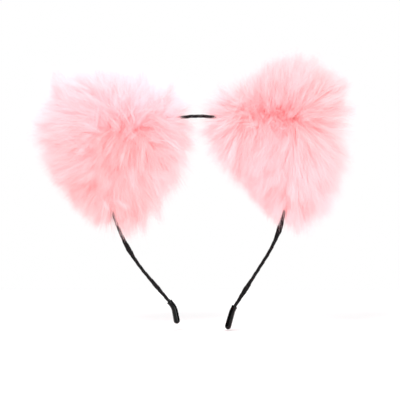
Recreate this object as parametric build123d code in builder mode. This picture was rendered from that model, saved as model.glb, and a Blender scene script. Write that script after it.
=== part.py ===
from build123d import *

import os
from math import cos, degrees, radians, sin

os.makedirs("parts", exist_ok=True)

# A headband for wearing upright: X runs along the crown, +Y is the back of the head and
# Z is up. The origin is the middle of the crown's inner face, where the head sits.
# The band lies in the XZ plane. Everything is in millimetres and degrees.

LEFT, RIGHT = -1, 1
SIDE_NAMES = {LEFT: "left", RIGHT: "right"}

# Spring strip and the satin ribbon wound around it
strip_width = 5.0
strip_thickness = 1.0
ribbon_build_up = 0.4
ribbon_slack = 0.05
wrap_width = strip_width + 2 * (ribbon_build_up + ribbon_slack)
wrap_thickness = strip_thickness + 2 * (ribbon_build_up + ribbon_slack)
band_middle = wrap_thickness / 2

# The band's centreline on each side, from the crown's middle down to the tip, as
# (radius, turn) arcs that turn towards the head, or away from it where the turn is
# negative. (0, length) is straight. Two hands bent the two legs a little differently.
crown_arc = (68.0, 43.0)
stretches = {
    LEFT: [crown_arc, (40.5, 59.0), (110.0, 28.5), (0, 25.0), (10.5, -29.5), (0, 6.5)],
    RIGHT: [crown_arc, (35.0, 43.5), (86.5, 36.0), (0, 37.5), (20.0, -17.0), (0, 8.6)],
}

# Where the band flexes: stations along the centreline, with a slit in the ribbon there
shoulder_flex = 13.0
leg_flex = {LEFT: 105.0, RIGHT: 104.0}
flex_slit = 0.8

# Slip-on tip caps
cap_length = 16.0
cap_thickness = 4.4
cap_width = 7.2
cap_end_wall = 2.2
cap_fit = 0.05
cap_edge_radius = 1.5

# Ears: a bent wire tied to the band, a stuffed pocket and two panels of long fur
ear_foot = {LEFT: (20.0, 94.0), RIGHT: (20.0, 94.0)}
ear_tip = {LEFT: (-80.0, 12.0), RIGHT: (72.0, 20.0)}
foot_length = 8.0
foot_bend = 4.0
tip_bend = 9.0
wire_diameter = 1.2
wire_gap = 0.3
wire_lift = wrap_thickness / 2 + wire_diameter / 2 + wire_gap

lashing_turns = 6
lashing_pitch = 1.1
thread = 0.7
thread_gap = 0.1
lashing_side_gap = 0.15
lashing_inner_width = wrap_width + 2 * lashing_side_gap
lashing_low = -wrap_thickness / 2 - thread_gap
lashing_high = wire_lift + wire_diameter / 2 + thread_gap

# Stitches lie along each straight edge of the wire, as shares of the edge from its foot
stitches_per_edge = 7
stitches_from = 0.15
stitches_over = 0.45
stitch_thread = 0.5

stuffing_depth = 14.0
stuffing_inset = 2.2
stuffing_corner = 4.0
stuffing_edge_radius = 3.0

felt_width = 14.0
felt_thickness = 1.2
felt_drop = 2.7

pocket_depth = 15.2
pocket_margin = 1.8
pocket_around_band = 7.4
pocket_past_foot = 2.0
channel_clearance = 0.6

# The fur's outer shape seen from the front, and how far it stands out front and back
fur_outline = {
    LEFT: [
        (-11, -22), (-19, 5), (-48, 24), (-82, 26), (-105, 10),
        (-108, -20), (-95, -48), (-72, -63), (-48, -67), (-24, -60),
    ],
    RIGHT: [
        (10, -20), (17, 8), (36, 28), (62, 37), (86, 30),
        (100, 5), (99, -30), (84, -58), (60, -66), (36, -59), (17, -42),
    ],
}
fur_depth = 33.0
fur_round = 20.0
panel_gap = 0.2


def stretch_length(radius, turn):
    """Length of one stretch of the band."""
    return radius * radians(abs(turn)) if radius else turn


def band_length(side):
    """Length of one side's centreline."""
    return sum(stretch_length(radius, turn) for radius, turn in stretches[side])


def walk(side, station, lift=0.0):
    """Point on the band at a station, lifted away from the head, and its heading.

    The heading is in degrees below the outward horizontal.
    """
    x, z, heading = 0.0, band_middle, 0.0
    for radius, turn in stretches[side]:
        go = min(station, stretch_length(radius, turn))
        if radius:
            signed = radius if turn > 0 else -radius
            ahead = heading + degrees(go / signed)
            x += signed * (sin(radians(ahead)) - sin(radians(heading)))
            z += signed * (cos(radians(ahead)) - cos(radians(heading)))
            heading = ahead
        else:
            x += go * cos(radians(heading))
            z -= go * sin(radians(heading))
        station -= go
    x += lift * sin(radians(heading))
    z += lift * cos(radians(heading))
    return (side * x, z), heading


def point(side, station, lift=0.0):
    """Only the point of walk()."""
    return walk(side, station, lift)[0]


def band_line(side, begin, end, lift=0.0):
    """Draw the band's line between two stations, inside a BuildLine."""
    reached = 0.0
    for radius, turn in stretches[side]:
        first = max(begin, reached)
        reached += stretch_length(radius, turn)
        last = min(end, reached)
        if last <= first:
            continue
        start, heading = walk(side, first, lift)
        if radius:
            inward = 1 if turn > 0 else -1
            tangent = (side * cos(radians(heading)), -sin(radians(heading)))
            swing = degrees((last - first) / radius)
            JernArc(start, tangent, radius + inward * lift, -side * inward * swing)
        else:
            Line(start, point(side, last, lift))


def cross_plane(side, station):
    """Plane across the band at a station: its x runs along Y and its y away from the head."""
    (x, z), heading = walk(side, station)
    along = (side * cos(radians(heading)), 0, -sin(radians(heading)))
    away = Vector(side * sin(radians(heading)), 0, cos(radians(heading)))
    return Plane(origin=(x, 0, z), x_dir=away.cross(Vector(*along)), z_dir=along)


def write(piece, name):
    """Label a finished piece and write its STEP file."""
    piece.part.label = name
    export_step(piece.part, f"parts/{name}.step")


# ---- The band ----


def spring_strip():
    """One flat steel strip, bent edge to edge from cap to cap."""
    with BuildPart() as strip:
        with BuildSketch(Plane.XZ):
            for side in (LEFT, RIGHT):
                with BuildLine():
                    band_line(side, 0, band_length(side) - cap_end_wall)
                trace(line_width=strip_thickness)
        extrude(amount=strip_width / 2, both=True)
    write(strip, "spring_strip")


def ribbon_wrap(name, spans):
    """Ribbon sleeve over the spans, given as (side, begin, end) stations."""
    with BuildPart() as wrap:
        for width, thickness, mode in (
            (wrap_width, wrap_thickness, Mode.ADD),
            (strip_width + ribbon_slack, strip_thickness + ribbon_slack, Mode.SUBTRACT),
        ):
            with BuildSketch(Plane.XZ):
                for side, begin, end in spans:
                    with BuildLine():
                        band_line(side, begin, end)
                    trace(line_width=thickness)
            extrude(amount=width / 2, both=True, mode=mode)
    write(wrap, name)


def tip_cap(side):
    """Slip-on cap that follows the last bend of the leg and ends round."""
    end = band_length(side)
    mouth = end + cap_thickness / 2 - cap_length
    with BuildPart() as cap:
        with BuildSketch(Plane.XZ):
            with BuildLine():
                band_line(side, mouth, end)
            trace(line_width=cap_thickness)
            with Locations(point(side, end)):
                Circle(cap_thickness / 2)
        extrude(amount=cap_width / 2, both=True)
        rims = cap.edges().group_by(Axis.Y)
        fillet(rims[0] + rims[-1], cap_edge_radius)
        with BuildSketch(Plane.XZ):
            with BuildLine():
                band_line(side, mouth, end - cap_end_wall + cap_fit)
            trace(line_width=wrap_thickness + 2 * cap_fit)
        extrude(amount=wrap_width / 2 + cap_fit, both=True, mode=Mode.SUBTRACT)
    write(cap, f"{SIDE_NAMES[side]}_tip_cap")


# ---- The ears ----


def wire_corners(side):
    """Corners of the ear wire: inner foot, inner bend, tip, outer bend and outer foot."""
    inner, outer = ear_foot[side]
    return [
        point(side, inner, wire_lift),
        point(side, inner + foot_length, wire_lift),
        ear_tip[side],
        point(side, outer - foot_length, wire_lift),
        point(side, outer, wire_lift),
    ]


def ear_wire(side):
    """Wire bent to a rounded point, with a foot along the band at each end."""
    with BuildPart() as wire:
        with BuildLine(Plane.XZ) as route:
            FilletPolyline(*wire_corners(side), radius=[foot_bend, tip_bend, foot_bend])
        with BuildSketch(Plane(origin=route.line @ 0, z_dir=route.line % 0)):
            Circle(wire_diameter / 2)
        sweep()
    write(wire, f"{SIDE_NAMES[side]}_ear_wire")


def foot_lashing(side, where, station):
    """Turns of thread that tie one foot of the ear wire to the band."""
    height = lashing_high - lashing_low
    turn = (lashing_inner_width + 2 * thread, height + 2 * thread)
    with BuildPart() as lashing:
        for step in range(lashing_turns):
            plane = cross_plane(side, station + step * lashing_pitch)
            with BuildSketch(plane.offset(-thread / 2)):
                with Locations((0, (lashing_high + lashing_low) / 2)):
                    RectangleRounded(*turn, thread)
                    Rectangle(lashing_inner_width, height, mode=Mode.SUBTRACT)
            extrude(amount=thread)
    write(lashing, f"{SIDE_NAMES[side]}_{where}_lashing")


def seam_stitches(side):
    """Loops of thread that hold the pocket's seam to the straight edges of the wire."""
    corners = [Vector(x, 0, z) for x, z in wire_corners(side)]
    tip = corners[2]
    with BuildPart() as stitches:
        for foot in (corners[1], corners[3]):
            edge = tip - foot
            for step in range(stitches_per_edge):
                share = stitches_from + stitches_over * step / (stitches_per_edge - 1)
                with BuildSketch(Plane(origin=foot + edge * share, z_dir=edge)):
                    Circle(wire_diameter / 2 + thread_gap + stitch_thread)
                    Circle(wire_diameter / 2 + thread_gap, mode=Mode.SUBTRACT)
                extrude(amount=stitch_thread)
    write(stitches, f"{SIDE_NAMES[side]}_seam_stitches")


def ear_stuffing(side):
    """Pad of fibre inside the wire, rounded at its corners."""
    inner, outer = ear_foot[side]
    with BuildPart() as stuffing:
        with BuildSketch(Plane.XZ):
            with BuildLine():
                FilletPolyline(*wire_corners(side)[1:4], radius=tip_bend)
                band_line(side, inner + foot_length, outer - foot_length, wire_lift)
            make_face()
            offset(amount=-stuffing_inset - stuffing_corner)
            offset(amount=stuffing_corner)
        extrude(amount=stuffing_depth / 2, both=True)
        rims = stuffing.edges().group_by(Axis.Y)
        fillet(rims[0] + rims[-1], stuffing_edge_radius)
    write(stuffing, f"{SIDE_NAMES[side]}_stuffing")


def base_strip(side):
    """Felt strip under the band that closes the ear's pocket."""
    inner, outer = ear_foot[side]
    with BuildPart() as felt:
        with BuildSketch(Plane.XZ):
            with BuildLine():
                band_line(side, inner, outer, -felt_drop)
            trace(line_width=felt_thickness)
        extrude(amount=felt_width / 2, both=True)
    write(felt, f"{SIDE_NAMES[side]}_base_strip")


def fur_panel(side, where, facing):
    """Front or back half of the fur, hollow for the pocket and slotted for the band."""
    inner, outer = ear_foot[side]
    with BuildPart() as fur:
        with BuildSketch(Plane.XZ.offset(facing * panel_gap / 2)):
            with BuildLine():
                Spline(*fur_outline[side], periodic=True)
            make_face()
        extrude(amount=facing * fur_depth)
        rim = fur.edges().sort_by(Axis.Y)[0 if facing > 0 else -1]
        fillet(rim, fur_round)
        with BuildSketch(Plane.XZ):
            with BuildLine():
                Polyline(point(side, inner), *wire_corners(side), point(side, outer))
                band_line(side, inner, outer)
            make_face()
            offset(amount=pocket_margin)
            with BuildLine():
                band_line(side, inner - pocket_past_foot, outer + pocket_past_foot)
            trace(line_width=pocket_around_band)
        extrude(amount=pocket_depth / 2, both=True, mode=Mode.SUBTRACT)
        with BuildSketch(Plane.XZ):
            with BuildLine():
                band_line(side, 0, band_length(side))
            trace(line_width=wrap_thickness + 2 * channel_clearance)
        extrude(amount=wrap_width / 2 + channel_clearance, both=True, mode=Mode.SUBTRACT)
    write(fur, f"{SIDE_NAMES[side]}_fur_{where}")


spring_strip()
crown_end = shoulder_flex - flex_slit / 2
ribbon_wrap("crown_ribbon_wrap", [(LEFT, 0, crown_end), (RIGHT, 0, crown_end)])
for side, name in SIDE_NAMES.items():
    inner, outer = ear_foot[side]
    ear_begin = shoulder_flex + flex_slit / 2
    ear_end = leg_flex[side] - flex_slit / 2
    ribbon_wrap(f"{name}_ear_ribbon_wrap", [(side, ear_begin, ear_end)])
    leg_end = band_length(side) - cap_end_wall
    ribbon_wrap(f"{name}_leg_ribbon_wrap", [(side, ear_end + flex_slit, leg_end)])
    tip_cap(side)
    ear_wire(side)
    foot_lashing(side, "inner", inner + thread)
    foot_lashing(side, "outer", outer - thread - (lashing_turns - 1) * lashing_pitch)
    seam_stitches(side)
    ear_stuffing(side)
    base_strip(side)
    fur_panel(side, "front", 1)
    fur_panel(side, "back", -1)
    for label, station in (("shoulder", shoulder_flex), ("leg", leg_flex[side])):
        x, z = point(side, station)
        print(f"{name} {label} flex at X {x:.2f} Z {z:.2f}")
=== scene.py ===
"""Looks of the fluffy animal-ears headband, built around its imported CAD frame."""

import math

import bpy
import numpy as np
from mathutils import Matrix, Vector, noise


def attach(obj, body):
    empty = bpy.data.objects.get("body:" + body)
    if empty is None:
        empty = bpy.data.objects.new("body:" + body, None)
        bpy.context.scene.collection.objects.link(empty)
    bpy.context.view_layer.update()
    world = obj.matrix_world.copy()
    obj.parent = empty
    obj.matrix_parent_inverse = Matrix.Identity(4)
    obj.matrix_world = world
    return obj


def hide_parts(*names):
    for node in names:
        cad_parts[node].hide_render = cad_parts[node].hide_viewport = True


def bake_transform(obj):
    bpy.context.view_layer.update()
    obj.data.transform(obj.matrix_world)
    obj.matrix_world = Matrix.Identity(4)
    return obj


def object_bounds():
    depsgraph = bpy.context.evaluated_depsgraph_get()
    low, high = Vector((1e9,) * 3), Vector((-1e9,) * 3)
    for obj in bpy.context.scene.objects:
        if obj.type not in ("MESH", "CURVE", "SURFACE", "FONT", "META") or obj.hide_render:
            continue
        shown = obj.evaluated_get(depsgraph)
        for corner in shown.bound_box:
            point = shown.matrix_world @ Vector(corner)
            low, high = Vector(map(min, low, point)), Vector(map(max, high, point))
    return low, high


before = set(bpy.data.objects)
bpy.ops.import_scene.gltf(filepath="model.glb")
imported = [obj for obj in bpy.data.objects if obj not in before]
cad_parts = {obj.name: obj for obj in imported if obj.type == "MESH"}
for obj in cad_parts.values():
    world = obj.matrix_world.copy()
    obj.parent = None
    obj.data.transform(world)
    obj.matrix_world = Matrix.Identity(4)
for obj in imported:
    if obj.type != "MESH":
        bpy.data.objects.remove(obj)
cad_low, cad_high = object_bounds()

MM = 0.001
LEFT, RIGHT = -1, 1
NAMES = {LEFT: "left", RIGHT: "right"}

# ---- The band's centreline, as in the CAD: arcs (radius, turn) and straights (0, length) ----

CROWN_ARC = (68.0, 43.0)
STRETCHES = {
    LEFT: [CROWN_ARC, (40.5, 59.0), (110.0, 28.5), (0, 25.0), (10.5, -29.5), (0, 6.5)],
    RIGHT: [CROWN_ARC, (35.0, 43.5), (86.5, 36.0), (0, 37.5), (20.0, -17.0), (0, 8.6)],
}
BAND_MIDDLE = 0.95
STRIP_HALF = (2.5, 0.5)
SHOULDER_FLEX = 13.0
LEG_FLEX = {LEFT: 105.0, RIGHT: 104.0}
EAR_MIDDLE = 57.0

# ---- Ribbon ----

RIBBON_HALF = (2.78, 0.72)
RIBBON_WIDTH = 9.0
RIBBON_PITCH = 5.8
RIBBON_LAYER = 0.26
RIBBON_THICKNESS = 0.13
RIBBON_SLANT = 0.35
RIBBON_RIPPLE = 0.05
STEPS_PER_TURN = 40
POINTS_ACROSS = 8
# The winding stops this far before the end of the strip, inside the cap.
RIBBON_STOPS = 2.2
# Where the winding bunches up: (signed station, how much thicker, half length)
BUNCHES = ((-125.0, 0.55, 8.0), (-156.0, 0.3, 7.0), (112.0, 0.75, 7.5), (158.0, 0.5, 7.0))

# ---- Tip caps ----

CAP_LENGTH = 16.0
CAP_HALF_MOUTH = (3.45, 1.85)
CAP_HALF_END = (3.5, 2.15)
CAP_PAST_BAND = 1.9
CAP_ROUND_END = 1.95
# The mouth's inside and its rolled lip, as (distance along the cap, how much wider).
CAP_INSIDE = ((2.5, -0.62), (0.25, -0.62), (-0.05, -0.4), (-0.1, -0.1))
CAP_LIP = ((0.05, 0.12), (0.5, 0.16), (1.0, 0.06), (1.6, 0.0))
CAP_BODY_FROM = 2.4

# ---- Ears ----

EAR_FEET = (20.0, 94.0)
EAR_TIP = {LEFT: (-80.0, 12.0), RIGHT: (72.0, 20.0)}
PAD_HALF_DEPTH = 8.6
PAD_UNDER_BAND = 4.8
PAD_SIDE_BULGE = 5.0
# Size as a share of the outline, then the simulation's voxel, pressure and furthest move, in m.
BACKING_PAD = (0.97, 0.0022, 4.0, 0.0018)
CORE_PAD = (0.72, 0.0026, 3.0, 0.001)
CORE_THINNER = 2.2
CLOTH_MASS = 0.1
CLOTH_FRAMES = 20
FELT_HALF = (6.9, 0.55)
FELT_DROP = 2.7
FELT_FUZZ = 0.12

# ---- Fur ----

FUR_MIDDLE = {LEFT: (-57.0, -21.0), RIGHT: (56.0, -17.0)}
# The line the pile is combed away from, how wide it stands up along it, and how far the
# combing strays from lock to lock.
WHORL = {LEFT: ((-50.0, -4.0), (-40.0, -5.0)), RIGHT: ((34.0, 4.0), (66.0, -1.0))}
WHORL_SOFTNESS = {LEFT: 8.0, RIGHT: 3.5}
WHORL_SCATTER = {LEFT: 11.0, RIGHT: 5.5}
# How far the pile reaches from its middle, as (degrees from +X, reach) going round.
REACH = {
    LEFT: (
        (0, 53), (17, 56), (34, 59), (48, 58), (62, 53), (100, 54), (118, 55), (124, 58),
        (130, 68), (137, 60), (143, 55), (158, 59), (172, 56), (188, 49), (205, 44), (230, 44),
        (250, 48), (266, 54), (280, 58), (300, 55), (320, 51), (345, 52),
    ),
    RIGHT: (
        (0, 48), (20, 50), (27, 55), (34, 51), (43, 60), (52, 56), (70, 60), (90, 57), (110, 51),
        (130, 53), (150, 60), (180, 52), (210, 45), (235, 40), (255, 45), (270, 56), (285, 60),
        (305, 54), (330, 49),
    ),
}
FUR_HALF_DEPTH = 36.0
# No hair goes further than this share of the reach.
FURTHEST_HAIR = 1.13
# Sideways sweep of the pile above the band, towards the outside of each ear.
SWEEP = {LEFT: -0.25, RIGHT: 0.7}
# Painted light and shade in the pile's tone: how much paler the pile is painted where it lies
# fully up (a painted highlight; a value below 0 paints shade there instead), how much deeper where
# it lies fully down (painted shade), and how much deeper at the ear's outer side (painted shade).
PAINTED_LIGHT_TONE = {LEFT: (0.75, 0.65, 0.0), RIGHT: (-0.15, 0.1, 0.55)}
# Single locks in front, as root end and tip, (x, z), and tone: pale ones that lie on top of
# the pile, then deeper tufts that break the outline.
LOCKS = {
    LEFT: (
        ((-47.0, -22.0), (-42.0, -51.0), 0.66), ((-58.5, -51.0), (-45.0, -60.5), 0.66),
        ((-67.0, -50.0), (-58.0, -61.0), 0.66), ((-34.0, -30.0), (-24.0, -55.0), 0.66),
        ((-60.0, -20.0), (-88.0, -38.0), 0.66), ((-30.0, -8.0), (-9.0, -24.0), 0.66),
        ((-85.0, 11.0), (-97.0, 32.5), 0.1), ((-83.0, 14.0), (-95.0, 31.0), 0.1),
        ((-86.0, 8.0), (-97.5, 28.0), 0.1), ((-64.0, 14.0), (-66.0, 32.0), 0.4),
        ((-54.0, 14.0), (-55.0, 31.0), 0.4), ((-38.0, 12.0), (-36.0, 31.0), 0.4),
        ((-24.0, 8.0), (-17.0, 24.0), 0.4), ((-96.0, -8.0), (-110.0, -3.0), 0.4),
        ((-50.0, -62.0), (-48.0, -80.0), 0.3), ((-38.0, -60.0), (-36.0, -78.0), 0.3),
        ((-30.0, -54.0), (-24.0, -70.0), 0.3),
    ),
    RIGHT: (
        ((48.0, -14.0), (55.0, -46.0), 0.66), ((38.0, -12.0), (31.0, -42.0), 0.66),
        ((60.0, -16.0), (70.0, -50.0), 0.66), ((72.0, -12.0), (91.0, -38.0), 0.66),
        ((74.0, 18.0), (92.0, 32.0), 0.2), ((80.0, 12.0), (99.5, 26.0), 0.2),
        ((88.0, 0.0), (105.0, 8.0), 0.2), ((22.0, 6.0), (13.0, 22.0), 0.3),
        ((62.0, -60.0), (66.0, -78.0), 0.3),
    ),
}
PALE_TONE = 0.5
PALE_HAIRS = 42
TUFT_HAIRS = 110
# How far out a lock's root, bend and tip lie, as a share of the fur's depth, and how far
# its hairs scatter there. A tuft starts deeper in the fur and fans out in depth.
LOCK_DEPTH = (0.5, 0.77, 0.85)
LOCK_SCATTER = (3.4, 2.4, 1.9)
TUFT_DEPTH = 0.35
TUFT_FAN = 2.6
# Partings where the pile opens, dark from the real gap and from painted shade in the hairs' tone:
# two ends, and how far to each side it is pushed.
PARTINGS = {
    LEFT: (
        ((-41.0, -22.0), (-38.0, -34.0), 7.0),
        ((-60.0, -34.0), (-54.0, -42.0), 6.0),
        ((-30.0, -34.0), (-25.0, -46.0), 6.0),
    ),
    RIGHT: (
        ((57.0, -34.0), (62.0, -46.0), 4.0),
        ((32.0, -36.0), (38.0, -50.0), 4.5),
        ((82.0, -36.0), (88.0, -48.0), 4.5),
    ),
}
# How far the pile eddies to and fro, in radians.
EDDY = 0.16
# A hair stands up for the first share of its length and leans over for the second.
KNEE, LEAN = 0.36, 0.70
# Middle and scatter of the locks' tone, from 0, deep, to 1, pale.
LOCK_TONE = (0.57, 0.16)
# Stretches of bare band beside each ear, as stations, how near a hair may come to them,
# the share of hairs that keep clear, and the shortest that one is cut.
BARE_CROWN = (-11.0, 10.5)
BARE_LEG = (98.0, 124.0)
NEAR_BAND = (1.2, 2.6)
SHARE_CLEAR = 0.93
SHORTEST_HAIR = 0.12
# How strongly the blades turn their flat side to the front or the back.
BLADE_FACING = 1.1


# ---- Band geometry ----


def walk(signed_station, lift=0.0):
    """Point (x, z) on the band, and its heading in degrees below the outward horizontal.

    Stations count from the crown's middle, negative to the left. Lift is away from the head.
    """
    side = LEFT if signed_station < 0 else RIGHT
    station = abs(signed_station)
    x, z, heading = 0.0, BAND_MIDDLE, 0.0
    for radius, turn in STRETCHES[side]:
        length = radius * math.radians(abs(turn)) if radius else turn
        go = min(station, length)
        if radius:
            signed = radius if turn > 0 else -radius
            ahead = heading + math.degrees(go / signed)
            x += signed * (math.sin(math.radians(ahead)) - math.sin(math.radians(heading)))
            z += signed * (math.cos(math.radians(ahead)) - math.cos(math.radians(heading)))
            heading = ahead
        else:
            x += go * math.cos(math.radians(heading))
            z -= go * math.sin(math.radians(heading))
        station -= go
    along, down = math.cos(math.radians(heading)), math.sin(math.radians(heading))
    x += station * along + lift * down
    z += -station * down + lift * along
    return side * x, z, heading


def band_length(side):
    """Length of one side's centreline in mm."""
    return sum(r * math.radians(abs(t)) if r else t for r, t in STRETCHES[side])


def band_frames(stations):
    """Points, tangents and away-from-head directions (n, 3) at signed stations."""
    rows = [walk(s) for s in stations]
    side = np.where(np.asarray(stations) < 0, -1.0, 1.0)
    heading = np.radians([r[2] for r in rows])
    zero = np.zeros(len(rows))
    points = np.array([(r[0], 0.0, r[1]) for r in rows])
    away = np.stack([side * np.sin(heading), zero, np.cos(heading)], 1)
    tangent = np.stack([np.cos(heading), zero, -side * np.sin(heading)], 1)
    return points, tangent, away


def flex_points(side, station, reach=8.0):
    """Start and end, in metres, of the stretch that bends at a flex point."""
    ends = []
    for s in (station - reach, station + reach):
        x, z, _ = walk(side * s)
        ends.append((x * MM, 0.0, z * MM))
    return ends


# ---- Mesh and material helpers ----


def make_mesh(name, points, faces):
    """A smooth-shaded mesh object from points in mm and faces of any size."""
    mesh = bpy.data.meshes.new(name)
    mesh.from_pydata([tuple(p) for p in np.asarray(points, float) * MM], [], faces)
    mesh.validate()
    mesh.polygons.foreach_set("use_smooth", [True] * len(mesh.polygons))
    mesh.update()
    obj = bpy.data.objects.new(name, mesh)
    bpy.context.scene.collection.objects.link(obj)
    return obj


def ring_faces(rings, around):
    """Quads between neighbouring rings of points."""
    faces = []
    for r in range(rings - 1):
        here, above = r * around, (r + 1) * around
        for c in range(around):
            d = (c + 1) % around
            faces.append((here + c, here + d, above + d, above + c))
    return faces


def closing_faces(rings, around):
    """The faces that close the first and the last ring."""
    last = around * rings - 1
    return [tuple(range(around)), tuple(last - k for k in range(around))]


def superellipse(angles, half_width, half_height, power):
    """Points (across, up) of a rounded rectangle at the given angles."""
    c, s = np.cos(angles), np.sin(angles)
    across = half_width * np.sign(c) * np.abs(c) ** (2 / power)
    up = half_height * np.sign(s) * np.abs(s) ** (2 / power)
    return across, up


def new_material(name):
    """A node material, its node tree and its Principled shader."""
    material = bpy.data.materials.new(name)
    material.use_nodes = True
    tree = material.node_tree
    shader = tree.nodes["Principled BSDF"]
    return material, tree, shader


def add(tree, kind, **values):
    """Add a node and set its named attributes, or its inputs where the name is an input's."""
    node = tree.nodes.new(kind)
    for key, value in values.items():
        socket = node.inputs.get(key.replace("_", " "))
        if socket is not None:
            socket.default_value = value
        else:
            setattr(node, key, value)
    return node


def ramp(tree, factor, stops):
    """A colour ramp over a factor socket; stops are (position, (r, g, b))."""
    node = tree.nodes.new("ShaderNodeValToRGB")
    band = node.color_ramp
    while len(band.elements) < len(stops):
        band.elements.new(0.5)
    for element, (position, colour) in zip(band.elements, stops):
        element.position = position
        element.color = (*colour, 1.0)
    tree.links.new(factor, node.inputs["Fac"])
    return node.outputs["Color"]


def bump(tree, height, shader, strength, distance):
    """Drive the shader's normal from a height socket."""
    node = add(tree, "ShaderNodeBump", Strength=strength, Distance=distance)
    tree.links.new(height, node.inputs["Height"])
    tree.links.new(node.outputs["Normal"], shader.inputs["Normal"])


def fur_material(name, shades):
    """Pile: colour runs from root to tip along V, and lock by lock along U.
    A pale hair deepens towards its root: painted shade of the pile's depth.
    """
    material, tree, shader = new_material(name)
    uv = add(tree, "ShaderNodeUVMap", uv_map="OFBake")
    split = add(tree, "ShaderNodeSeparateXYZ")
    tree.links.new(uv.outputs["UV"], split.inputs["Vector"])
    deep = ramp(tree, split.outputs["Y"], [(0.0, shades[0]), (0.45, shades[1]), (1.0, shades[2])])
    # The pale ramp starts at the deep middle shade: painted shade at the root.
    pale = ramp(tree, split.outputs["Y"], [(0.0, shades[1]), (0.5, shades[3]), (1.0, shades[4])])
    mix = add(tree, "ShaderNodeMix", data_type="RGBA")
    tree.links.new(split.outputs["X"], mix.inputs[0])
    tree.links.new(deep, mix.inputs[6])
    tree.links.new(pale, mix.inputs[7])
    tree.links.new(mix.outputs[2], shader.inputs["Base Color"])
    shader.inputs["Roughness"].default_value = 0.62
    shader.inputs["Specular IOR Level"].default_value = 0.25
    through = add(tree, "ShaderNodeBsdfTranslucent")
    tree.links.new(mix.outputs[2], through.inputs["Color"])
    both = add(tree, "ShaderNodeMixShader", Fac=0.45)
    tree.links.new(shader.outputs["BSDF"], both.inputs[1])
    tree.links.new(through.outputs["BSDF"], both.inputs[2])
    tree.links.new(both.outputs["Shader"], tree.nodes["Material Output"].inputs["Surface"])
    return material


def satin_material():
    """Black satin ribbon: soft sheen, faint slubs and fine ribs across the winding."""
    material, tree, shader = new_material("black_satin")
    place = add(tree, "ShaderNodeTexCoord")
    slub = add(tree, "ShaderNodeTexNoise", Scale=420.0, Detail=3.0)
    ribs = add(tree, "ShaderNodeTexWave", Scale=900.0, Distortion=1.5, Detail=2.0)
    for node in (slub, ribs):
        tree.links.new(place.outputs["Object"], node.inputs["Vector"])
    stops = [(0.3, (0.002, 0.0018, 0.002)), (0.75, (0.008, 0.006, 0.007))]
    colour = ramp(tree, slub.outputs["Fac"], stops)
    tree.links.new(colour, shader.inputs["Base Color"])
    rough = add(tree, "ShaderNodeMapRange", From_Min=0.3, From_Max=0.7, To_Min=0.26, To_Max=0.42)
    tree.links.new(slub.outputs["Fac"], rough.inputs["Value"])
    tree.links.new(rough.outputs["Result"], shader.inputs["Roughness"])
    shader.inputs["Specular IOR Level"].default_value = 0.12
    bump(tree, ribs.outputs["Fac"], shader, 0.25, 0.0001)
    return material


def cap_material():
    """Glossy black moulded cap with faint handling haze."""
    material, tree, shader = new_material("gloss_black_cap")
    place = add(tree, "ShaderNodeTexCoord")
    haze = add(tree, "ShaderNodeTexNoise", Scale=260.0, Detail=5.0, Roughness=0.6)
    tree.links.new(place.outputs["Object"], haze.inputs["Vector"])
    stops = [(0.35, (0.0006, 0.0006, 0.0007)), (0.8, (0.003, 0.003, 0.0034))]
    colour = ramp(tree, haze.outputs["Fac"], stops)
    tree.links.new(colour, shader.inputs["Base Color"])
    rough = add(tree, "ShaderNodeMapRange", From_Min=0.35, From_Max=0.75, To_Min=0.07, To_Max=0.16)
    tree.links.new(haze.outputs["Fac"], rough.inputs["Value"])
    tree.links.new(rough.outputs["Result"], shader.inputs["Roughness"])
    shader.inputs["Specular IOR Level"].default_value = 0.2
    bump(tree, haze.outputs["Fac"], shader, 0.08, 0.0002)
    return material


def metal_material(name, dark, light, scale):
    """Bright drawn or rolled steel with fine streaks."""
    material, tree, shader = new_material(name)
    place = add(tree, "ShaderNodeTexCoord")
    streak = add(tree, "ShaderNodeTexNoise", Scale=scale, Detail=4.0)
    tree.links.new(place.outputs["Object"], streak.inputs["Vector"])
    colour = ramp(tree, streak.outputs["Fac"], [(0.3, dark), (0.7, light)])
    tree.links.new(colour, shader.inputs["Base Color"])
    shader.inputs["Metallic"].default_value = 1.0
    shader.inputs["Roughness"].default_value = 0.32
    bump(tree, streak.outputs["Fac"], shader, 0.15, 0.00005)
    return material


def cloth_material(name, dark, light, scale, weave):
    """Felt, thread, fibre or knit: mottled fibre colour over a fine raised texture."""
    material, tree, shader = new_material(name)
    place = add(tree, "ShaderNodeTexCoord")
    fibre = add(tree, "ShaderNodeTexNoise", Scale=scale, Detail=6.0, Roughness=0.65)
    knit = add(tree, "ShaderNodeTexVoronoi", Scale=weave)
    for node in (fibre, knit):
        tree.links.new(place.outputs["Object"], node.inputs["Vector"])
    colour = ramp(tree, fibre.outputs["Fac"], [(0.3, dark), (0.7, light)])
    tree.links.new(colour, shader.inputs["Base Color"])
    shader.inputs["Roughness"].default_value = 0.85
    shader.inputs["Sheen Weight"].default_value = 0.3
    bump(tree, knit.outputs["Distance"], shader, 0.5, 0.0003)
    return material


# ---- Camera, light and floor ----


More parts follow.
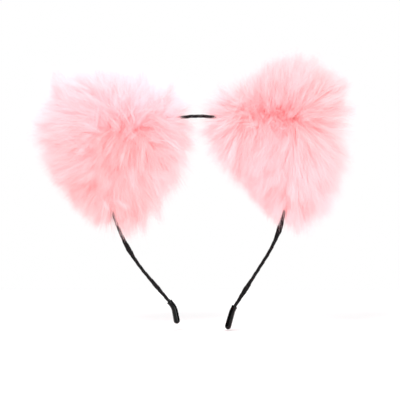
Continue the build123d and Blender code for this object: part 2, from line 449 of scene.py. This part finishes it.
def make_stage():
    """Long-lens camera square to the front, white surroundings, soft key light and pale floor."""
    frame_width, distance = 0.264, 1.6
    camera_data = bpy.data.cameras.new("camera")
    camera_data.sensor_width = 36.0
    camera_data.lens = camera_data.sensor_width * distance / frame_width
    camera = bpy.data.objects.new("camera", camera_data)
    camera.location = (0.0007, -distance, -0.0544)
    camera.rotation_euler = (math.radians(90), 0, 0)
    bpy.context.scene.collection.objects.link(camera)
    bpy.context.scene.camera = camera

    for name, place, size, power in (
        ("key", (-0.35, -1.4, 0.75), 0.45, 19.0),
        ("fill", (0.95, -1.1, 0.0), 0.9, 13.5),
        ("back", (0.1, 1.1, 0.5), 1.2, 5.0),
        ("top", (0.0, 0.3, 1.3), 1.2, 7.0),
    ):
        lamp = bpy.data.lights.new(name, "AREA")
        lamp.size = size
        lamp.energy = power
        light = bpy.data.objects.new(name, lamp)
        light.location = place
        light.rotation_euler = (-Vector(place)).to_track_quat("-Z", "Y").to_euler()
        bpy.context.scene.collection.objects.link(light)

    world = bpy.data.worlds.new("studio")
    world.use_nodes = True
    tree = world.node_tree
    sky = tree.nodes["Background"]
    sky.inputs["Color"].default_value = (1.0, 0.99, 1.0, 1.0)
    sky.inputs["Strength"].default_value = 0.55
    mirrored = add(tree, "ShaderNodeBackground", Color=(1.0, 1.0, 1.0, 1.0), Strength=0.07)
    seen = add(tree, "ShaderNodeBackground", Color=(1.0, 1.0, 1.0, 1.0), Strength=1.0)
    path = add(tree, "ShaderNodeLightPath")
    shiny = add(tree, "ShaderNodeMixShader")
    mix = add(tree, "ShaderNodeMixShader")
    tree.links.new(path.outputs["Is Glossy Ray"], shiny.inputs[0])
    tree.links.new(sky.outputs[0], shiny.inputs[1])
    tree.links.new(mirrored.outputs[0], shiny.inputs[2])
    tree.links.new(path.outputs["Is Camera Ray"], mix.inputs[0])
    tree.links.new(shiny.outputs[0], mix.inputs[1])
    tree.links.new(seen.outputs[0], mix.inputs[2])
    tree.links.new(mix.outputs[0], tree.nodes["World Output"].inputs["Surface"])
    bpy.context.scene.world = world
    bpy.context.scene.view_settings.view_transform = "Standard"
    # Light has to get deep into the pale pile, so it may bounce many times.
    cycles = bpy.context.scene.cycles
    cycles.max_bounces = 40
    cycles.diffuse_bounces = 24
    cycles.transmission_bounces = 24

    half, below = 700.0, cad_low.z / MM - 0.4
    around = ((-half, -half), (half, -half), (half, half), (-half, half))
    floor = make_mesh("floor", [(x, y, below) for x, y in around], [(0, 1, 2, 3)])
    material, tree, shader = new_material("pale_floor")
    place = add(tree, "ShaderNodeTexCoord")
    mottle = add(tree, "ShaderNodeTexNoise", Scale=3.0, Detail=2.0)
    tree.links.new(place.outputs["Object"], mottle.inputs["Vector"])
    stops = [(0.3, (0.95, 0.95, 0.95)), (0.7, (0.98, 0.98, 0.98))]
    colour = ramp(tree, mottle.outputs["Fac"], stops)
    tree.links.new(colour, shader.inputs["Base Color"])
    shader.inputs["Roughness"].default_value = 0.9
    floor.data.materials.append(material)


# ---- Band pieces ----


def finish_piece(obj, material, nodes):
    """Give a piece its material and hide the CAD nodes it stands for."""
    obj.data.materials.append(material)
    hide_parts(*nodes)


def hang_on_band(obj, side, upper):
    """Find the shoulder (upper) or leg (lower) flex point's ends, which are not used, and bake the
    piece's placement into its mesh.
    """
    if upper:
        start, end = flex_points(side, SHOULDER_FLEX)
        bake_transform(obj)
    else:
        start, end = flex_points(side, LEG_FLEX[side])
        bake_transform(obj)


def band_halves(side):
    """(upper, first station, last station) of the two stretches of one side."""
    return ((True, 0.0, EAR_MIDDLE), (False, EAR_MIDDLE, band_length(side) - RIBBON_STOPS))


def bunching(stations):
    """How much the winding is thickened at each signed station."""
    swell = np.zeros_like(stations)
    for middle, amount, half in BUNCHES:
        d = (stations - middle) / half
        swell += amount * np.exp(-d * d * 1.6) * (1.0 - 0.35 * np.tanh(d * 2.0))
    return swell


def half_name(side, upper):
    """Start of the name of a piece that covers half of one side of the band."""
    return f"{NAMES[side]}_{'upper' if upper else 'lower'}"


def wound_ribbon(side, upper, first, last, material):
    """Ribbon wound round the strip, each turn lapping over the one before."""
    turns = np.arange(first - RIBBON_WIDTH, last, RIBBON_PITCH / STEPS_PER_TURN)
    across = np.linspace(0, 1, POINTS_ACROSS)
    section = np.concatenate([across, across[::-1]])
    under = np.concatenate([np.zeros(POINTS_ACROSS), np.ones(POINTS_ACROSS)])
    start = side * turns
    angle = 2 * np.pi * start / RIBBON_PITCH
    stations = start[:, None] + side * RIBBON_WIDTH * section[None, :]
    stations = np.clip(stations * side, first, last) * side
    points, _, away = band_frames(stations.ravel())
    angles = np.repeat(angle, len(section)) - RIBBON_SLANT * np.tile(section, len(turns))
    swell = bunching(stations.ravel())
    lap = 1.0 - np.tile(section, len(turns)) * RIBBON_WIDTH / RIBBON_PITCH
    lap = np.clip(lap, -0.3, 1.0)
    lift = RIBBON_LAYER * (0.9 + 0.8 * lap) - RIBBON_THICKNESS * np.tile(under, len(turns))
    spots = zip(stations.ravel(), angles)
    ripple = np.array([noise.noise((s * 0.5, a * 0.8, 3.0)) for s, a in spots])
    lift = lift + RIBBON_RIPPLE * ripple * (1 + 2 * swell)
    half_y, half_up = RIBBON_HALF[0] + lift - 0.25 * swell, RIBBON_HALF[1] + lift + swell
    y, up = superellipse(angles, half_y, half_up, 4.0)
    points = points + away * up[:, None]
    points[:, 1] += y
    faces = ring_faces(len(turns), len(section))
    obj = make_mesh(f"{half_name(side, upper)}_ribbon", points, faces)
    name = NAMES[side]
    nodes = ["crown_ribbon_wrap", f"{name}_ear_ribbon_wrap"]
    finish_piece(obj, material, nodes if upper else [f"{name}_leg_ribbon_wrap"])
    hang_on_band(obj, side, upper)


def steel_strip(side, upper, first, last, material):
    """One stretch of the flat spring strip inside the ribbon."""
    stations = side * np.arange(first, last + 0.4, 0.8)
    points, _, away = band_frames(stations)
    angles = np.linspace(0, 2 * np.pi, 20, endpoint=False)
    y, up = superellipse(angles, STRIP_HALF[0], STRIP_HALF[1], 8.0)
    rings = points[:, None, :] + away[:, None, :] * up[None, :, None]
    rings[:, :, 1] += y[None, :]
    size = len(stations), len(angles)
    faces = ring_faces(*size) + closing_faces(*size)
    obj = make_mesh(f"{half_name(side, upper)}_strip", rings.reshape(-1, 3), faces)
    finish_piece(obj, material, ["spring_strip"])
    hang_on_band(obj, side, upper)


def slip_on_cap(side, material):
    """Cap that follows the leg's last bend, with a rolled mouth and a round end."""
    end = band_length(side) + CAP_PAST_BAND
    mouth = end - CAP_LENGTH
    round_from = end - CAP_ROUND_END
    # Each ring of the cap: station, how much wider, and how much it closes at the round end.
    profile = [(mouth + s, wider, 1.0) for s, wider in (*CAP_INSIDE, *CAP_LIP)]
    profile += [(s, 0.0, 1.0) for s in np.linspace(mouth + CAP_BODY_FROM, round_from, 18)]
    for a in np.linspace(0, np.pi / 2, 9)[1:]:
        profile.append((round_from + CAP_ROUND_END * math.sin(a), 0.0, max(math.cos(a), 0.02)))
    stations, wider, closing = np.array(profile).T
    points, _, away = band_frames(side * stations)
    share = np.clip((stations - mouth) / CAP_LENGTH, 0, 1) ** 0.8
    half_y, half_up = (
        at_mouth * (1 - share) + at_end * share + wider
        for at_mouth, at_end in zip(CAP_HALF_MOUTH, CAP_HALF_END)
    )
    half_y = half_y - CAP_ROUND_END * (1 - closing)
    angles = np.linspace(0, 2 * np.pi, 40, endpoint=False)
    rings = []
    for k in range(len(stations)):
        y, up = superellipse(angles, half_y[k], half_up[k] * closing[k], 2.25)
        ring = points[k] + away[k] * up[:, None]
        ring[:, 1] += y
        rings.append(ring)
    size = len(rings), len(angles)
    faces = ring_faces(*size) + closing_faces(*size)[1:]
    obj = make_mesh(f"{NAMES[side]}_cap", np.concatenate(rings), faces)
    finish_piece(obj, material, [f"{NAMES[side]}_tip_cap"])
    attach(obj, f"{NAMES[side]}_leg")


# ---- Ear pads ----


def pad_outline(side):
    """Closed smooth outline (x, z) of the ear's pocket, and a middle that sees all of it."""
    inner, outer = EAR_FEET
    tip = np.array(EAR_TIP[side])

    def at(station, lift):
        return np.array(walk(side * station, lift)[:2])

    def outward(point):
        return (point - middle) / np.linalg.norm(point - middle)

    middle = at(EAR_MIDDLE, 0.0) * 0.55 + tip * 0.45
    feet = at(inner + 8, 1.85), at(outer - 8, 1.85)
    sides = []
    for foot in feet:
        half_way = (foot + tip) / 2
        sides.append(half_way + outward(half_way) * PAD_SIDE_BULGE)
    control = [at(s, -PAD_UNDER_BAND) for s in (inner, 38, EAR_MIDDLE, 76, outer)]
    control += [at(outer + 1, 5.0), sides[1], tip + outward(tip) * 1.5]
    control += [sides[0], at(inner - 1, 5.0)]
    control = np.array(control)
    steps = np.linspace(0, 1, 12, endpoint=False)[:, None]
    curve = []
    for k in range(len(control)):
        a, b, c, d = (control[(k + j) % len(control)] for j in (-1, 0, 1, 2))
        curve.append(0.5 * (2 * b + (c - a) * steps + (2 * a - 5 * b + 4 * c - d) * steps**2
                            + (3 * b - 3 * c + d - a) * steps**3))
    return np.concatenate(curve), middle


def domed_pad(name, side, scale, half_depth):
    """Closed crowned pad inside the outline, scaled about its middle."""
    outline, middle = pad_outline(side)
    outline = middle + (outline - middle) * scale
    count = len(outline)
    radii = np.sin(np.linspace(0, np.pi / 2, 12))[1:]
    rings = []
    for facing, order in ((-1, radii), (1, radii[:-1][::-1])):
        for r in order:
            flat = middle + (outline - middle) * r
            y = facing * half_depth * (1 - r**3.0) ** 0.6
            rings.append(np.stack([flat[:, 0], np.full(count, y), flat[:, 1]], 1))
    faces = ring_faces(len(rings), count)
    poles = [(middle[0], y, middle[1]) for y in (-half_depth, half_depth)]
    points = np.concatenate(rings + [poles])
    front, back = len(points) - 2, len(points) - 1
    last = (len(rings) - 1) * count
    for k in range(count):
        faces.append((front, (k + 1) % count, k))
        faces.append((back, last + k, last + (k + 1) % count))
    return make_mesh(name, points, faces)


def apply_modifiers(obj):
    """Replace the object's mesh with its evaluated one and drop its modifiers."""
    graph = bpy.context.evaluated_depsgraph_get()
    mesh = bpy.data.meshes.new_from_object(obj.evaluated_get(graph))
    obj.modifiers.clear()
    obj.data = mesh


def inflate(obj, voxel, pressure, limit):
    """Puff a pad with cloth simulation, letting no point move further than limit, in metres."""
    remesh = obj.modifiers.new("remesh", "REMESH")
    remesh.mode = "VOXEL"
    remesh.voxel_size = voxel
    apply_modifiers(obj)
    count = len(obj.data.vertices)
    before = np.zeros(count * 3, np.float32)
    obj.data.vertices.foreach_get("co", before)
    cloth = obj.modifiers.new("cloth", "CLOTH")
    cloth.settings.use_pressure = True
    cloth.settings.uniform_pressure_force = pressure
    cloth.settings.effector_weights.gravity = 0.0
    cloth.settings.mass = CLOTH_MASS
    cloth.point_cache.frame_start, cloth.point_cache.frame_end = 1, CLOTH_FRAMES
    for step in range(1, CLOTH_FRAMES + 1):
        bpy.context.scene.frame_set(step)
    apply_modifiers(obj)
    bpy.context.scene.frame_set(1)
    after = np.zeros(count * 3, np.float32)
    obj.data.vertices.foreach_get("co", after)
    move = (after - before).reshape(-1, 3)
    size = np.linalg.norm(move, axis=1, keepdims=True)
    move *= np.minimum(1.0, limit / np.maximum(size, 1e-9))
    obj.data.vertices.foreach_set("co", (before.reshape(-1, 3) + move).ravel())
    smooth = obj.modifiers.new("subdivide", "SUBSURF")
    smooth.levels = smooth.render_levels = 1
    apply_modifiers(obj)
    obj.data.polygons.foreach_set("use_smooth", [True] * len(obj.data.polygons))


def ear_pads(side, backing, fibre):
    """The fur's backing cloth, puffed, and the fibre stuffing inside it."""
    name = NAMES[side]
    share, *settings = BACKING_PAD
    pad = domed_pad(f"{name}_fur_backing", side, share, PAD_HALF_DEPTH)
    inflate(pad, *settings)
    finish_piece(pad, backing, [f"{name}_fur_front", f"{name}_fur_back"])
    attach(pad, f"{name}_ear")

    share, *settings = CORE_PAD
    core = domed_pad(f"{name}_fibre_core", side, share, PAD_HALF_DEPTH - CORE_THINNER)
    inflate(core, *settings)
    for vertex in core.data.vertices:
        large, small = noise.noise(vertex.co / (4.0 * MM)), noise.noise(vertex.co / (1.5 * MM))
        vertex.co += vertex.normal * (large * 0.5 + small * 0.25) * MM
    finish_piece(core, fibre, [f"{name}_stuffing"])
    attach(core, f"{name}_ear")
    return pad


def felt_strip(side, felt):
    """Felt strip under the band, with soft edges and a little fuzz in its surface."""
    stations = side * np.arange(EAR_FEET[0], EAR_FEET[1], 0.7)
    points, _, away = band_frames(stations)
    angles = np.linspace(0, 2 * np.pi, 36, endpoint=False)
    y, up = superellipse(angles, FELT_HALF[0], FELT_HALF[1], 5.0)
    rings = points[:, None, :] + away[:, None, :] * (up - FELT_DROP)[None, :, None]
    rings[:, :, 1] += y[None, :]
    flat = rings.reshape(-1, 3)
    fuzz = np.array([noise.noise(tuple(p * 0.9)) for p in flat])
    flat = flat + np.repeat(away, len(angles), 0) * (FELT_FUZZ * fuzz)[:, None]
    size = len(stations), len(angles)
    faces = ring_faces(*size) + closing_faces(*size)
    obj = make_mesh(f"{NAMES[side]}_felt", flat, faces)
    finish_piece(obj, felt, [f"{NAMES[side]}_base_strip"])
    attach(obj, f"{NAMES[side]}_ear")


# ---- Fur ----


def unit(v):
    """Rows scaled to length 1."""
    return v / np.maximum(np.linalg.norm(v, axis=-1, keepdims=True), 1e-9)


def pad_roots(pad, count, facing, rng):
    """Random roots on the front (-1) or back (1) of a pad, and the surface normals there."""
    mesh = pad.data
    mesh.calc_loop_triangles()
    co = np.zeros(len(mesh.vertices) * 3, np.float32)
    normal = np.zeros(len(mesh.vertices) * 3, np.float32)
    mesh.vertices.foreach_get("co", co)
    mesh.vertices.foreach_get("normal", normal)
    co, normal = co.reshape(-1, 3) / MM, normal.reshape(-1, 3)
    corners = np.zeros(len(mesh.loop_triangles) * 3, np.int32)
    mesh.loop_triangles.foreach_get("vertices", corners)
    corners = corners.reshape(-1, 3)
    corners = corners[co[corners, 1].mean(1) * facing > -0.3]
    a, b, c = (co[corners[:, k]] for k in range(3))
    area = np.linalg.norm(np.cross(b - a, c - a), axis=1)
    pick = rng.choice(len(corners), count, p=area / area.sum())
    u, v = rng.random(count), rng.random(count)
    flip = u + v > 1
    u[flip], v[flip] = 1 - u[flip], 1 - v[flip]
    weights = np.stack([1 - u - v, u, v], 1)[:, :, None]
    return (co[corners[pick]] * weights).sum(1), unit((normal[corners[pick]] * weights).sum(1))


def off_line(flat, a, b):
    """Vectors from the nearest point of the line a-b to each flat (x, z) point."""
    a, b = np.array(a, float), np.array(b, float)
    along = np.clip(((flat - a) @ (b - a)) / ((b - a) @ (b - a)), 0, 1)
    return flat - (a + along[:, None] * (b - a))


def combing(side, points, rng):
    """Direction in the ear's plane in which the pile lies, and how open it is there, 0 to 1."""
    flat = points[:, [0, 2]]
    off = off_line(flat + rng.normal(0, WHORL_SCATTER[side], flat.shape), *WHORL[side])
    away = np.linalg.norm(off, axis=1)
    opening = np.zeros(len(flat))
    lie = off / np.sqrt(away**2 + WHORL_SOFTNESS[side] ** 2)[:, None]
    for a, b, width in PARTINGS[side]:
        off = off_line(flat, a, b)
        near = np.exp(-((off**2).sum(1)) / width**2)
        lie = lie + 1.3 * near[:, None] * off / np.sqrt((off**2).sum(1) + 4.0)[:, None]
        opening = np.maximum(opening, 0.8 * np.exp(-((off**2).sum(1)) / (0.5 * width) ** 2))
    lie = lie / np.maximum(1.0, np.linalg.norm(lie, axis=1))[:, None]
    x, z = flat.T
    above, beyond = np.clip((z - 2.0) / 25.0, 0, 1), np.clip((np.abs(x) - 50.0) / 25.0, 0, 1)
    lie[:, 0] += SWEEP[side] * above * beyond
    waves = np.sin(0.19 * x + 0.07 * z + 1.0) + np.sin(0.11 * z - 0.17 * x + 2.6)
    turn = EDDY * (waves + np.sin(0.31 * z + 0.5))
    c, s = np.cos(turn), np.sin(turn)
    turned = [lie[:, 0] * c - lie[:, 1] * s, np.zeros(len(lie)), lie[:, 0] * s + lie[:, 1] * c]
    return np.stack(turned, 1), opening


def reach_share(side, points):
    """1 where a point is on the fur's outer shape, less inside it."""
    middle = np.array(FUR_MIDDLE[side])
    off = points[..., [0, 2]] - middle
    angle = np.degrees(np.arctan2(off[..., 1], off[..., 0])) % 360
    table = np.array(REACH[side], float)
    reach = np.interp(angle, table[:, 0], table[:, 1], period=360)
    return np.sqrt((off**2).sum(-1) / reach**2 + (points[..., 1] / FUR_HALF_DEPTH) ** 2)


def clear_of_band(side, roots, path, rng):
    """How much of each hair to keep so that it doesn't lie along the bare band outside the ear."""
    stations = np.concatenate([np.arange(*BARE_CROWN, 1.5) * side, np.arange(*BARE_LEG, 1.5)])
    band, _, _ = band_frames(stations * side)
    points = roots[:, None, :] + path
    gap = np.linalg.norm(points[:, :, None, [0, 2]] - band[None, None, :, [0, 2]], axis=-1).min(-1)
    close = gap < rng.uniform(*NEAR_BAND, len(roots))[:, None]
    close &= (rng.random(len(roots)) < SHARE_CLEAR)[:, None]
    first = np.where(close.any(1), close.argmax(1), path.shape[1])
    return np.clip((first - 0.6) / (path.shape[1] - 1), SHORTEST_HAIR, 1.0)


def tapering(t):
    """Share of a hair's width left at each share t of its length, as one row."""
    return 1 - 0.75 * t[None, :] ** 1.6


def grow_fur(pad, side, facing, style, seed):
    """Paths (n, k, 3) of one coat of hair, its widths, and a tone for each hair."""
    rng = np.random.default_rng(seed)
    count, locks = style["hairs"], style["locks"]
    roots, normals = pad_roots(pad, count, facing, rng)
    heads = rng.choice(count, locks, replace=False)
    near = np.empty(count, int)
    for k in range(0, count, 4000):
        gap = roots[k:k + 4000, None, :] - roots[heads][None, :, :]
        near[k:k + 4000] = (gap**2).sum(-1).argmin(1)
    lie, opening = combing(side, roots[heads], rng)
    upward = np.clip(lie[:, 2], 0, 1)
    jitter = rng.normal(0, style["stray"], (locks, 3)) * (1 + 0.5 * upward[:, None])
    stand = 1 - np.linalg.norm(lie, axis=1)
    first = unit(normals[heads] + 0.6 * lie + jitter)
    last = unit(lie + normals[heads] * (style["lift"] + 0.9 * stand)[:, None] + 1.1 * jitter)
    size = style["length"] * rng.uniform(0.85, 1.1, locks) * (1 - 0.3 * opening)
    # Painted light and shade: the tone shifts with which way the pile lies, up or down, and is
    # painted deeper towards the ear's outer side.
    painted_tone_up, painted_shade_down, outward = PAINTED_LIGHT_TONE[side]
    tone = rng.normal(*LOCK_TONE, locks) + np.where(lie[:, 2] > 0, painted_tone_up, painted_shade_down) * lie[:, 2]
    tone = tone - outward * np.clip((np.abs(roots[heads][:, 0]) - 62.0) / 20.0, 0, 1)
    # Painted shade: hairs at a parting are painted deeper.
    tone = np.clip(tone - 0.2 * opening, 0.03, 0.97)
    hold = style["clump"] * rng.uniform(0.7, 1.15, locks) * (1 - 0.7 * upward)

    t = np.linspace(0, 1, style["points"])
    own = rng.normal(0, style["frizz"], (count, 3)) * (1 + 0.6 * upward[near])[:, None]
    begin = unit(first[near] + 0.5 * own)
    finish = unit(last[near] + own)
    length = size[near] * rng.uniform(0.7, 1.05, count)
    knee = begin * (KNEE * length)[:, None]
    tip = knee + finish * (LEAN * length)[:, None]
    path = knee[:, None, :] * (2 * t * (1 - t))[None, :, None]
    path = path + tip[:, None, :] * (t**2)[None, :, None]
    gather = roots[heads][near] - roots
    path = path + gather[:, None, :] * (hold[near][:, None] * t[None, :] ** 1.25)[:, :, None]
    phase = rng.uniform(0, 2 * np.pi, locks)[near] + rng.normal(0, 0.5, count)
    wave = unit(np.cross(begin, finish) + 1e-4) * style["wave"]
    swing = np.sin(phase[:, None] + 4.5 * t[None, :]) * t[None, :]
    path = path + wave[:, None, :] * swing[:, :, None]

    limit = rng.normal(style["edge"], style["ragged"], locks)[near]
    limit += rng.normal(0, 0.6 * style["ragged"], count)
    limit = np.minimum(limit, FURTHEST_HAIR)
    keep = np.ones(count)
    for _ in range(6):
        share = reach_share(side, roots + path[:, -1, :] * keep[:, None])
        keep *= np.clip(1 + (limit - share) * 0.9, 0.6, 1.0)
    path = path * keep[:, None, None]
    path = roots[:, None, :] + path * clear_of_band(side, roots, path, rng)[:, None, None]
    width = style["width"] * rng.uniform(0.7, 1.2, count)[:, None] * tapering(t)
    tone = np.clip(tone[near] + rng.normal(0, 0.08, count), 0.02, 0.98)
    return path, width, tone


def single_locks(side, style, rng):
    """The single locks in front, as paths, widths and tones to add to a coat."""
    t = np.linspace(0, 1, style["points"])
    reach, scatter = np.array(LOCK_DEPTH), np.array(LOCK_SCATTER)
    paths, tones = [], []
    for start, end, tone in LOCKS[side]:
        start, end = np.array(start), np.array(end)
        spots = np.stack([start, start * 0.55 + end * 0.45, end])
        spots = np.stack([spots[:, 0], np.zeros(3), spots[:, 1]], 1)
        share = np.clip(reach_share(side, spots), 0, 0.97)
        tuft = tone < PALE_TONE
        spots[:, 1] = -FUR_HALF_DEPTH * np.sqrt(1 - share**2) * reach
        spots[:, 1] *= TUFT_DEPTH if tuft else 1.0
        hairs = TUFT_HAIRS if tuft else PALE_HAIRS
        spread = scatter[:, None] * np.array((1.0, TUFT_FAN if tuft else 1.0, 1.0))
        ends = spots[None] + rng.normal(0, 1, (hairs, 3, 3)) * spread
        bend = np.stack([(1 - t) ** 2, 2 * t * (1 - t), t**2], 1)
        paths.append(np.einsum("kc,ncd->nkd", bend, ends))
        tones.append(rng.normal(tone, 0.10, hairs))
    path = np.concatenate(paths)
    width = style["width"] * rng.uniform(1.0, 1.6, len(path))[:, None] * tapering(t)
    return path, width, np.clip(np.concatenate(tones), 0.02, 0.98)


def fur_mesh(name, path, width, tone, seed):
    """Tapered blades along the paths, with root-to-tip and tone as the OFBake UV map."""
    rng = np.random.default_rng(seed)
    count, k = path.shape[:2]
    tangent = unit(np.gradient(path, axis=1))
    facing = rng.normal(0, 1, (count, 3))
    facing = unit(facing + np.array([0, BLADE_FACING, 0]) * rng.choice([-1, 1], (count, 1)))
    across = unit(np.cross(tangent, facing[:, None, :]))
    offset = across * (width / 2)[:, :, None]
    left, right = path - offset, path + offset
    pairs = np.stack([left[:, :-1], right[:, :-1]], 2).reshape(count, -1, 3)
    points = np.concatenate([pairs, path[:, -1:, :]], 1)
    per = points.shape[1]
    quads = np.array([(2 * i, 2 * i + 1, 2 * i + 3, 2 * i + 2) for i in range(k - 2)]).ravel()
    corner = np.concatenate([quads, [2 * k - 4, 2 * k - 3, 2 * k - 2]])
    loops = (corner[None, :] + per * np.arange(count)[:, None]).ravel()
    sizes = np.tile([4] * (k - 2) + [3], count)
    starts = np.concatenate([[0], np.cumsum(sizes)[:-1]])

    mesh = bpy.data.meshes.new(name)
    mesh.vertices.add(count * per)
    mesh.vertices.foreach_set("co", (points * MM).astype(np.float32).ravel())
    mesh.loops.add(len(loops))
    mesh.loops.foreach_set("vertex_index", loops.astype(np.int32))
    mesh.polygons.add(len(sizes))
    mesh.polygons.foreach_set("loop_start", starts.astype(np.int32))
    mesh.polygons.foreach_set("use_smooth", np.ones(len(sizes), bool))
    mesh.update(calc_edges=True)

    v = np.repeat(np.linspace(0.01, 0.99, k), 2)[:per]
    u_side = np.tile([-0.012, 0.012], k)[:per]
    u_side[-1] = 0.0
    uv = np.stack([tone[:, None] + u_side[None, :], np.tile(v, (count, 1))], 2).reshape(-1, 2)
    layer = mesh.uv_layers.new(name="OFBake")
    layer.data.foreach_set("uv", uv[loops].astype(np.float32).ravel())
    obj = bpy.data.objects.new(name, mesh)
    bpy.context.scene.collection.objects.link(obj)
    return obj


# Lengths, widths and waves in mm. Lift, stray, frizz and clump are shares of a hair's
# direction or length; edge and ragged say how far the coat reaches, as a share of REACH.
COATS = {
    "undercoat": dict(
        hairs=26000, locks=1600, points=5, length=34.0, width=0.24, lift=0.6, stray=0.12,
        frizz=0.2, clump=0.35, wave=0.5, edge=0.84, ragged=0.07,
    ),
    "guard_hair": dict(
        hairs=22000, locks=620, points=6, length=52.0, width=0.21, lift=0.34, stray=0.10,
        frizz=0.07, clump=0.6, wave=0.9, edge=0.96, ragged=0.08,
    ),
    "wisps": dict(
        hairs=15000, locks=2200, points=6, length=60.0, width=0.12, lift=0.38, stray=0.14,
        frizz=0.12, clump=0.3, wave=1.2, edge=1.06, ragged=0.05,
    ),
}
SEED = {LEFT: 11, RIGHT: 47}


def ear_fur(side, pad, materials):
    """All coats of both panels of one ear."""
    name = NAMES[side]
    seed = SEED[side]
    for facing, where in ((-1, "front"), (1, "back")):
        for coat, style in COATS.items():
            seed += 1
            hair = grow_fur(pad, side, facing, style, seed)
            if coat == "wisps" and facing < 0:
                extra = single_locks(side, style, np.random.default_rng(seed + 500))
                hair = [np.concatenate(both) for both in zip(hair, extra)]
            path, width, tone = hair
            obj = fur_mesh(f"{name}_{where}_{coat}", path, width, tone, seed)
            finish_piece(obj, materials[coat], [f"{name}_fur_{where}"])
            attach(obj, f"{name}_ear")


# ---- Making the whole ----

make_stage()

satin = satin_material()
cap_black = cap_material()
strip_steel = metal_material("rolled_steel", (0.42, 0.43, 0.45), (0.6, 0.61, 0.63), 900.0)
wire_steel = metal_material("drawn_wire", (0.5, 0.5, 0.5), (0.68, 0.68, 0.67), 1500.0)
black, soft_black = (0.01, 0.01, 0.01), (0.03, 0.03, 0.03)
black_thread = cloth_material("black_thread", black, soft_black, 2500.0, 3500.0)
pink, pale_pink = (0.72, 0.3, 0.33), (0.86, 0.45, 0.47)
pink_thread = cloth_material("pink_thread", pink, pale_pink, 2500.0, 3500.0)
fibre = cloth_material("fibre_fill", (0.8, 0.8, 0.78), (0.92, 0.92, 0.9), 700.0, 500.0)
felt = cloth_material("pink_felt", (0.78, 0.36, 0.38), (0.9, 0.5, 0.52), 1400.0, 1200.0)
knit = cloth_material("fur_backing", (0.97, 0.66, 0.66), (1.0, 0.76, 0.76), 500.0, 900.0)
# Each coat's shades: root, middle and tip of a deep hair, then middle and tip of a pale one;
# a pale hair's root takes the deep middle shade, painted shade of the pile's depth.
coat_materials = {
    "undercoat": fur_material("undercoat_pink", (
        (1.0, 0.75, 0.74), (1.0, 0.75, 0.75), (1.0, 0.74, 0.75),
        (1.0, 0.82, 0.84), (1.0, 0.86, 0.89),
    )),
    "guard_hair": fur_material("guard_hair_pink", (
        (1.0, 0.77, 0.76), (1.0, 0.73, 0.73), (1.0, 0.70, 0.71),
        (1.0, 0.86, 0.88), (1.0, 0.92, 0.96),
    )),
    "wisps": fur_material("wisp_pink", (
        (1.0, 0.78, 0.78), (1.0, 0.74, 0.75), (1.0, 0.73, 0.74),
        (1.0, 0.86, 0.89), (1.0, 0.93, 0.97),
    )),
}

for side in (LEFT, RIGHT):
    for upper, first, last in band_halves(side):
        wound_ribbon(side, upper, first, last, satin)
        steel_strip(side, upper, first, last, strip_steel)
    slip_on_cap(side, cap_black)
    ear_pad = ear_pads(side, knit, fibre)
    felt_strip(side, felt)
    ear_fur(side, ear_pad, coat_materials)
    for node, material in (
        ("ear_wire", wire_steel),
        ("inner_lashing", black_thread),
        ("outer_lashing", black_thread),
        ("seam_stitches", pink_thread),
    ):
        cad_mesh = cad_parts[f"{NAMES[side]}_{node}"].data
        cad_mesh.materials.clear()
        cad_mesh.materials.append(material)
